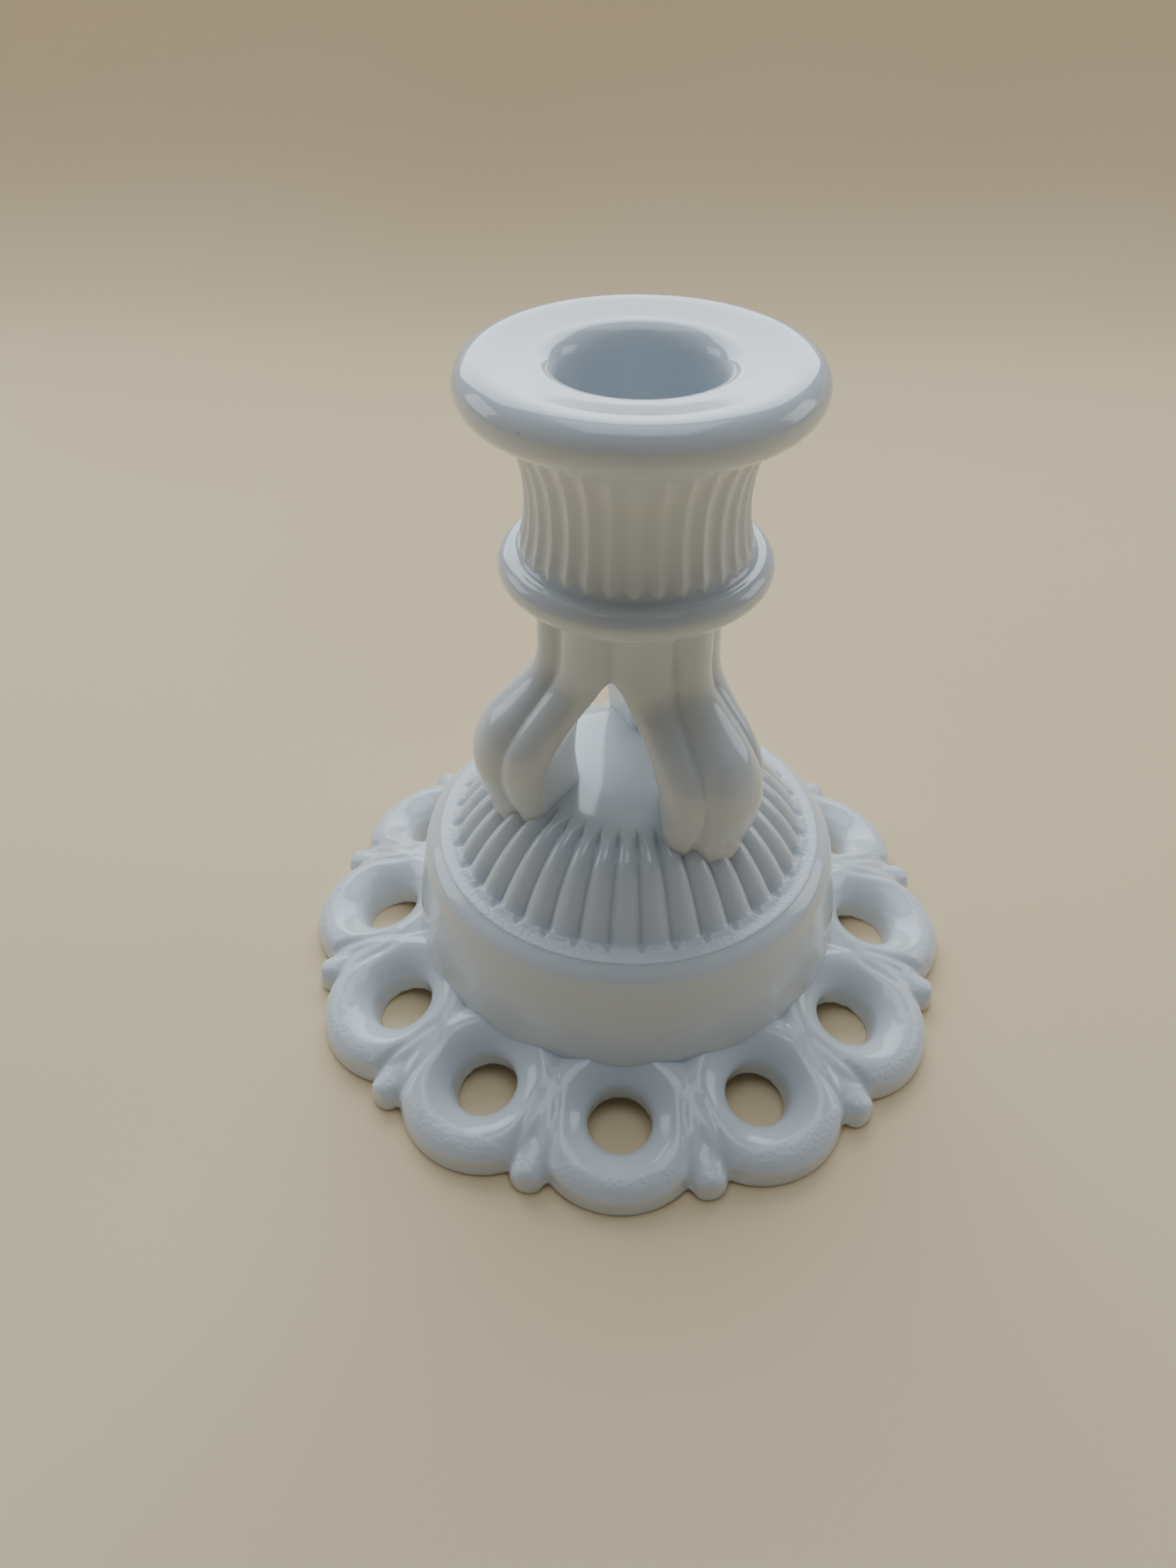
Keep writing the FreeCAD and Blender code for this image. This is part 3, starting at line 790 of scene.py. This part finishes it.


# ------------------------------------------------------------------ put it together

# group of painted crease shade and dirt specks
shade_and_dirt = crease_shade_and_dirt_group()
ripple = ripple_group()
ring_zone = ring_group()
groups = (shade_and_dirt, ripple, ring_zone)
LEDGE_ZONE = {"Inner Radius": 0.0306, "Outer Radius": 0.0335, "Low": ledge_top * MM - 0.0004,
              "High": ledge_top * MM + 0.0006}
CREST_ZONE = {"Inner Radius": 0.0545, "Outer Radius": 0.0590, "Low": 0.0040, "High": 0.0080,
              "Softness": 0.0012}
NO_ZONE = {"Inner Radius": 1.0, "Outer Radius": 1.1, "Low": 0.0, "High": 0.01}
# the last three arguments are the dirt speck amount, the painted crease shade amount and the rough
# zone
glass = milk_glass("milk glass", groups, (0.71, 0.75, 0.785, 1), 0.10, 0.03, 0.7, 0.25, LEDGE_ZONE)
lace_finish = milk_glass("milk glass lace", groups, (0.71, 0.75, 0.785, 1), 0.13, 0.05, 1.0, 0.6,
                         CREST_ZONE)
stem_finish = milk_glass("milk glass stem", groups, (0.70, 0.735, 0.76, 1), 0.11, 0.03, 0.4, 0.3,
                         NO_ZONE)

ring = ring_tree()
press = press_tree()
upper = build_upper(press, glass)
stem = build_stem(ring, stem_finish)
stem.data.materials.clear()
stem.data.materials.append(stem_finish)
foot = build_foot(press, glass)
lace = build_lace(ring, lace_finish)

for obj, nodes in ((upper, ["socket_rim", "candle_cup", "collar_ring"]),
                   (stem, ["stem_crown", "leg_left", "leg_right", "leg_back"]),
                   (foot, ["plateau_disc", "ribbed_dome", "ledge_ring", "skirt_band"]),
                   (lace, LOOPS + FINGERS)):
    obj.data.shade_smooth()
    hollow_mask(obj)
    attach(obj, "root")
    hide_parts(*nodes)
    obj.data.calc_loop_triangles()
    print(obj.name, "triangles", len(obj.data.loop_triangles))


# ------------------------------------------------------------------ floor, light, camera

def paper():
    material = bpy.data.materials.new("cream paper")
    material.use_nodes = True
    tree = material.node_tree
    shader = tree.nodes["Principled BSDF"]
    shader.inputs["Roughness"].default_value = 0.75
    soft = ramp(tree, noise(tree, 3.0, 2.0), 0.3, 0.7)
    tree.links.new(mix_colour(tree, soft, (0.86, 0.65, 0.38, 1), (0.89, 0.69, 0.43, 1)),
                   shader.inputs["Base Color"])
    return material


def floor_sheet():
    """Paper that runs along the floor and curves up behind."""
    half, front, bend, radius, height = 1.6, -1.2, 0.30, 0.16, 0.2
    profile = [(front, 0.0), (bend, 0.0)]
    for a in np.linspace(-90, 0, 24)[1:]:
        profile.append((bend + radius * math.cos(math.radians(a)),
                        radius + radius * math.sin(math.radians(a))))
    profile.append((bend + radius, height))
    points, faces = [], []
    for y, z in profile:
        points.append((-half / MM, y / MM, z / MM))
        points.append((half / MM, y / MM, z / MM))
    for k in range(len(profile) - 1):
        faces.append((2 * k, 2 * k + 1, 2 * k + 3, 2 * k + 2))
    mesh = bpy.data.meshes.new("floor")
    mesh.from_pydata([tuple(c * MM for c in p) for p in points], [], faces)
    mesh.shade_smooth()
    obj = bpy.data.objects.new("floor", mesh)
    bpy.context.scene.collection.objects.link(obj)
    mesh.materials.append(paper())
    return obj


def area_light(name, place, aim, size, power, colour):
    data = bpy.data.lights.new(name, "AREA")
    data.shape = "RECTANGLE"
    data.size, data.size_y = size
    data.energy = power
    data.color = colour
    obj = bpy.data.objects.new(name, data)
    obj.location = place
    obj.rotation_euler = (Vector(aim) - Vector(place)).to_track_quat("-Z", "Y").to_euler()
    bpy.context.scene.collection.objects.link(obj)
    return obj


def studio():
    aim = (0, 0, 0.05)
    lamps = [
        area_light("back window", (-0.12, 0.95, 0.72), aim, (1.5, 0.9), 17.0, (0.80, 0.91, 1.0)),
        area_light("ceiling", (0.0, 0.10, 1.0), aim, (0.7, 0.7), 3.2, (0.80, 0.90, 1.0)),
        area_light("left window", (-0.80, 0.30, 0.35), aim, (0.4, 0.4), 1.2, (0.84, 0.92, 1.0)),
        area_light("right window", (0.80, 0.30, 0.35), aim, (0.4, 0.4), 1.2, (0.88, 0.94, 1.0)),
    ]
    world = bpy.data.worlds.new("room")
    bpy.context.scene.world = world
    world.use_nodes = True
    world.node_tree.nodes["Background"].inputs["Color"].default_value = (0.86, 0.93, 1.0, 1)
    world.node_tree.nodes["Background"].inputs["Strength"].default_value = 0.13
    return lamps


def camera():
    """Camera above and in front of the candlestick, looking down at it."""
    distance, height = 0.15568, 0.17255
    pitch, yaw, roll = 0.7125, 0.0350, 0.0281
    ahead = Vector((0, math.cos(pitch), -math.sin(pitch)))
    up = Vector((0, math.sin(pitch), math.cos(pitch)))
    right = Vector((1, 0, 0))
    right, ahead = (math.cos(yaw) * right + math.sin(yaw) * ahead,
                    math.cos(yaw) * ahead - math.sin(yaw) * right)
    right, up = (math.cos(roll) * right + math.sin(roll) * up,
                 math.cos(roll) * up - math.sin(roll) * right)
    data = bpy.data.cameras.new("camera")
    data.sensor_fit = "VERTICAL"
    data.sensor_height = 36.0
    data.lens = 27.053
    data.clip_start = 0.01
    obj = bpy.data.objects.new("camera", data)
    rows = Matrix((right, up, -ahead)).transposed()
    obj.matrix_world = Matrix.Translation((0, -distance, height)) @ rows.to_4x4()
    bpy.context.scene.collection.objects.link(obj)
    bpy.context.scene.camera = obj


floor_sheet()
studio()
camera()
